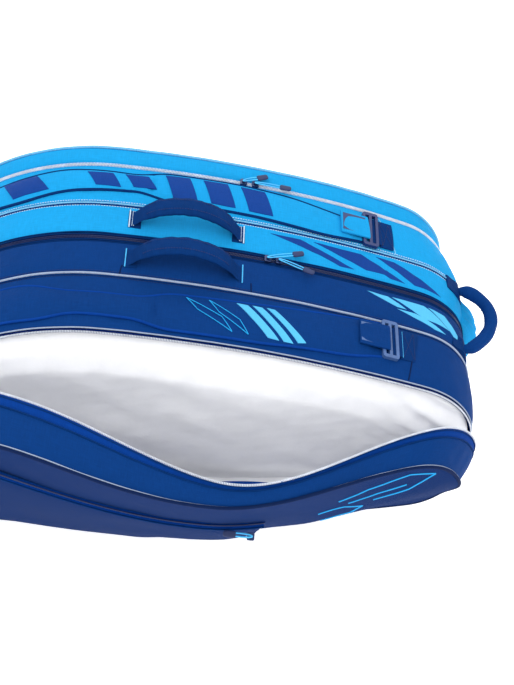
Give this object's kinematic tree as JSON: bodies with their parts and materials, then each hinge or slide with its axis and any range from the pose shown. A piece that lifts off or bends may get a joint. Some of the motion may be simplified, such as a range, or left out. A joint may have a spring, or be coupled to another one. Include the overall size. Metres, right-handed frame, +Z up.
{
  "type": "racket tournament bag",
  "caption": "Padded racket bag with an insulated front compartment standing open, hinged covers, zip sliders, carry handles and adjustable shoulder straps",
  "frame": {"origin": "on the floor, at the middle of the bag's length, inside the middle compartment", "axes": "+X along the bag towards the racket grips' end, +Y towards the rear compartment, +Z up towards the carry handles"},
  "size_m": [0.7955, 0.5449, 0.3706],
  "materials": {
    "navy_fabric": "tight woven polyester, matt with a faint satin sheen",
    "dark_navy_fabric": "tight woven polyester over foam, matt",
    "light_blue_fabric": "woven polyester, matt",
    "piping": "woven tape over a cord, matt",
    "zip_tape_navy": "knitted zip tape with a nylon coil",
    "zip_tape_grey": "knitted zip tape with a nylon coil",
    "zip_tape_blue": "woven binding band and zip tape with a white coil",
    "thermal_foil": "silver coated insulating lining, satin",
    "lining_fabric": "plain grey nylon lining",
    "foam_core": "closed-cell foam sheet",
    "board": "stiff plastic board, matt",
    "buckle_plastic": "moulded acetal, satin",
    "slider_metal": "lacquered zinc",
    "pull_rubber": "moulded soft rubber tag on a woven cord"
  },
  "bodies": {
    "main_body": {"base_panel": "navy_fabric", "front_divider": "foam_core", "front_gusset": "navy_fabric", "middle_front_gusset": "navy_fabric", "front_zip_body_row": "zip_tape_navy", "middle_zip_front_row": "zip_tape_navy", "front_seam_piping": "piping", "front_base_board": "board", "middle_base_board": "board", "middle_lining": "lining_fabric", "thermal_lining_wall": "thermal_foil", "thermal_lining_floor": "thermal_foil", "front_strap": "navy_fabric", "front_strap_webbing": "navy_fabric", "front_handle_anchors": "navy_fabric", "end_handle_front_tab": "navy_fabric"},
    "rear_block": {"rear_divider": "foam_core", "middle_rear_gusset": "light_blue_fabric", "rear_gusset": "light_blue_fabric", "rear_base_panel": "light_blue_fabric", "middle_zip_rear_row": "zip_tape_navy", "rear_zip_body_row": "zip_tape_grey", "rear_seam_piping": "piping", "rear_base_board": "board", "rear_lining": "lining_fabric", "rear_strap": "light_blue_fabric", "rear_strap_webbing": "light_blue_fabric", "rear_handle_anchors": "navy_fabric", "end_handle_rear_tab": "navy_fabric"},
    "rear_cover": {"rear_cover_face": "light_blue_fabric", "rear_cover_foam": "foam_core", "rear_cover_lining": "lining_fabric", "rear_cover_gusset": "light_blue_fabric", "rear_cover_zip_row": "zip_tape_grey", "rear_cover_piping": "piping"},
    "front_cover": {"front_cover_face": "dark_navy_fabric", "front_cover_foam": "foam_core", "front_cover_lining": "thermal_foil", "front_cover_gusset": "navy_fabric", "front_cover_zip_row": "zip_tape_blue", "front_cover_piping": "piping", "front_pocket_panel": "dark_navy_fabric", "front_pocket_zip": "zip_tape_navy"},
    "front_grab_handle": {"front_grab_handle": "navy_fabric"},
    "rear_grab_handle": {"rear_grab_handle": "navy_fabric"},
    "end_handle": {"end_handle": "navy_fabric"},
    "front_strap_buckle": {"front_strap_buckle": "buckle_plastic"},
    "rear_strap_buckle": {"rear_strap_buckle": "buckle_plastic"},
    "rear_zip_slider_left": {"rear_zip_slider_left": "slider_metal"},
    "rear_zip_pull_left": {"rear_zip_pull_left": "pull_rubber"},
    "rear_zip_slider_right": {"rear_zip_slider_right": "slider_metal"},
    "rear_zip_pull_right": {"rear_zip_pull_right": "pull_rubber"},
    "middle_zip_slider_left": {"middle_zip_slider_left": "slider_metal"},
    "middle_zip_pull_left": {"middle_zip_pull_left": "pull_rubber"},
    "middle_zip_slider_right": {"middle_zip_slider_right": "slider_metal"},
    "middle_zip_pull_right": {"middle_zip_pull_right": "pull_rubber"},
    "front_zip_slider": {"front_zip_slider": "slider_metal"},
    "front_zip_pull": {"front_zip_pull": "pull_rubber"},
    "pocket_zip_slider": {"pocket_zip_slider": "slider_metal"},
    "pocket_zip_pull": {"pocket_zip_pull": "pull_rubber"}
  },
  "joints": [
    {"name": "front_open", "type": "hinge", "parent": "main_body", "child": "front_cover", "pos_m": [0, -0.213, 0], "axis": [1, 0, 0], "range_deg": [-28, 0]},
    {"name": "middle_open", "type": "hinge", "parent": "main_body", "child": "rear_block", "pos_m": [0, 0.176, 0], "axis": [-1, 0, 0], "range_deg": [0, 7]},
    {"name": "rear_open", "type": "hinge", "parent": "rear_block", "child": "rear_cover", "pos_m": [0, 0.176, 0], "axis": [-1, 0, 0], "range_deg": [0, 55]},
    {"name": "front_handle_swing", "type": "hinge", "parent": "main_body", "child": "front_grab_handle", "pos_m": [-0.01673, -0.024, 0.33711], "axis": [0.9994, 0, -0.0335], "range_deg": [-10, 60]},
    {"name": "rear_handle_swing", "type": "hinge", "parent": "rear_block", "child": "rear_grab_handle", "pos_m": [-0.01673, 0.044, 0.33711], "axis": [0.9994, 0, -0.0335], "range_deg": [-60, 10]},
    {"name": "end_handle_swing", "type": "hinge", "parent": "main_body", "child": "end_handle", "pos_m": [0.3672, 0.014, 0.24847], "axis": [0, 1, 0], "range_deg": [-75, 15]},
    {"name": "front_strap_adjust", "type": "slide", "parent": "main_body", "child": "front_strap_buckle", "axis": [0.9795, 0, -0.2013], "range_m": [-0.025, 0]},
    {"name": "rear_strap_adjust", "type": "slide", "parent": "rear_block", "child": "rear_strap_buckle", "axis": [0.9821, 0, -0.1886], "range_m": [-0.025, 0]},
    {"name": "rear_slider_left_travel", "type": "hinge", "parent": "rear_block", "child": "rear_zip_slider_left", "pos_m": [-0.07, 0.142, -1.25], "axis": [0, 1, 0], "range_deg": [-5.5, 0]},
    {"name": "rear_pull_left_swing", "type": "hinge", "parent": "rear_zip_slider_left", "child": "rear_zip_pull_left", "pos_m": [0.05439, 0.142, 0.33001], "axis": [0, -1, 0], "range_deg": [0, 150]},
    {"name": "rear_slider_right_travel", "type": "hinge", "parent": "rear_block", "child": "rear_zip_slider_right", "pos_m": [-0.07, 0.142, -1.25], "axis": [0, 1, 0], "range_deg": [0, 7.5]},
    {"name": "rear_pull_right_swing", "type": "hinge", "parent": "rear_zip_slider_right", "child": "rear_zip_pull_right", "pos_m": [0.07043, 0.142, 0.32867], "axis": [0, -1, 0], "range_deg": [0, 150]},
    {"name": "middle_slider_left_travel", "type": "hinge", "parent": "main_body", "child": "middle_zip_slider_left", "pos_m": [-0.07, 0.011, -1.25], "axis": [0, 1, 0], "range_deg": [-6.8, 0]},
    {"name": "middle_pull_left_swing", "type": "hinge", "parent": "middle_zip_slider_left", "child": "middle_zip_pull_left", "pos_m": [0.08949, 0.011, 0.32685], "axis": [0, -1, 0], "range_deg": [0, 150]},
    {"name": "middle_slider_right_travel", "type": "hinge", "parent": "main_body", "child": "middle_zip_slider_right", "pos_m": [-0.07, 0.011, -1.25], "axis": [0, 1, 0], "range_deg": [0, 6.5]},
    {"name": "middle_pull_right_swing", "type": "hinge", "parent": "middle_zip_slider_right", "child": "middle_zip_pull_right", "pos_m": [0.10454, 0.011, 0.32526], "axis": [0, -1, 0], "range_deg": [0, 150]},
    {"name": "front_slider_travel", "type": "slide", "parent": "main_body", "child": "front_zip_slider", "axis": [0.1668, 0, 0.986], "range_m": [0, 0.022]},
    {"name": "front_pull_swing", "type": "hinge", "parent": "front_zip_slider", "child": "front_zip_pull", "pos_m": [0.37916, -0.146, 0.13918], "axis": [0, -1, 0], "range_deg": [0, 150]},
    {"name": "pocket_slider_travel", "type": "slide", "parent": "front_cover", "child": "pocket_zip_slider", "axis": [1, 0, 0], "range_m": [-0.16, 0]},
    {"name": "pocket_pull_swing", "type": "hinge", "parent": "pocket_zip_slider", "child": "pocket_zip_pull", "pos_m": [0.092, -0.33125, 0.20962], "axis": [0, 0.8829, 0.4695], "range_deg": [0, 150]}
  ]
}
